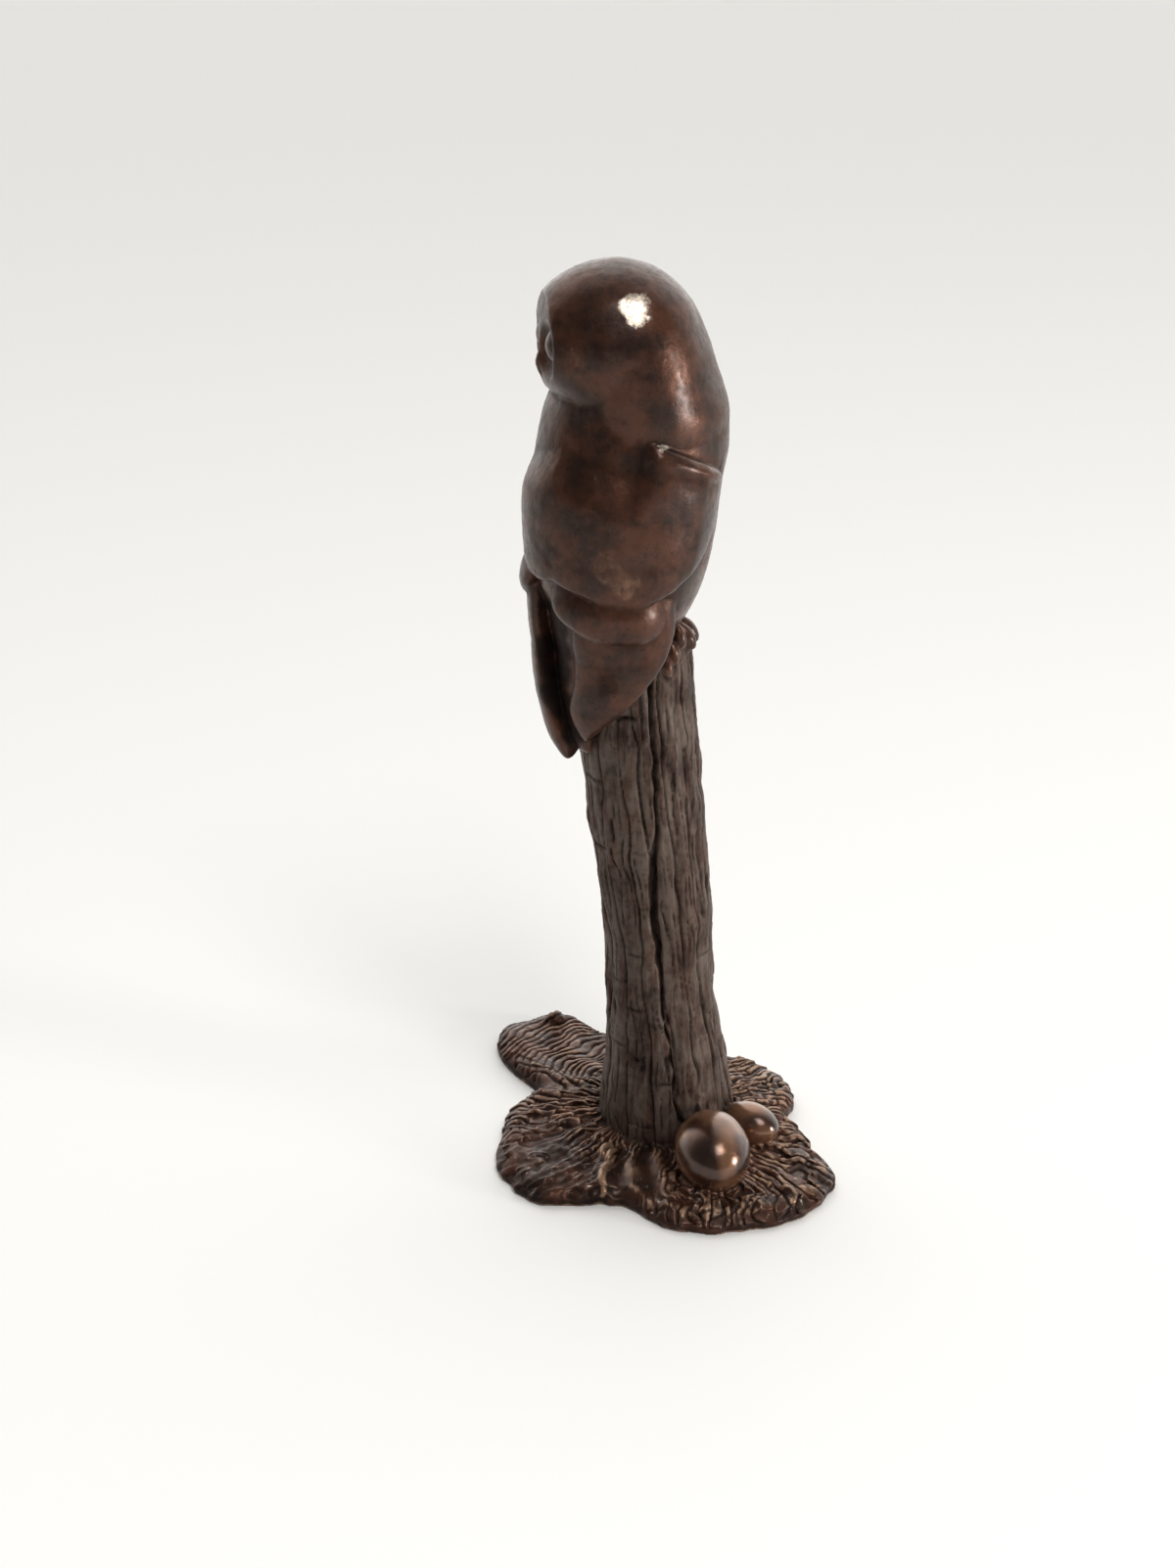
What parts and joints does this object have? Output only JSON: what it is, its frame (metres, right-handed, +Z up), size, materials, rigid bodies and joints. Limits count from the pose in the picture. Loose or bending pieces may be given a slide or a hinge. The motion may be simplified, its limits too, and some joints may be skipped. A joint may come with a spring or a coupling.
{
  "type": "bronze owl sculpture",
  "caption": "Small cast bronze owl perched on a tall bark-textured stump, its head turned back over its shoulder, with a lobed root base and smooth pebbles.",
  "frame": {"origin": "on the floor, under the middle of the stump's foot", "axes": "+Z up along the stump; +Y away from the side that the picture was taken from; +X to that side's right"},
  "size_m": [0.0401, 0.0455, 0.1],
  "materials": {
    "bronze": "dark chocolate-brown waxed patina on cast bronze, rubbed to copper on the high spots"
  },
  "bodies": {
    "root": {"bronze_owl_on_stump": "bronze"}
  },
  "joints": []
}
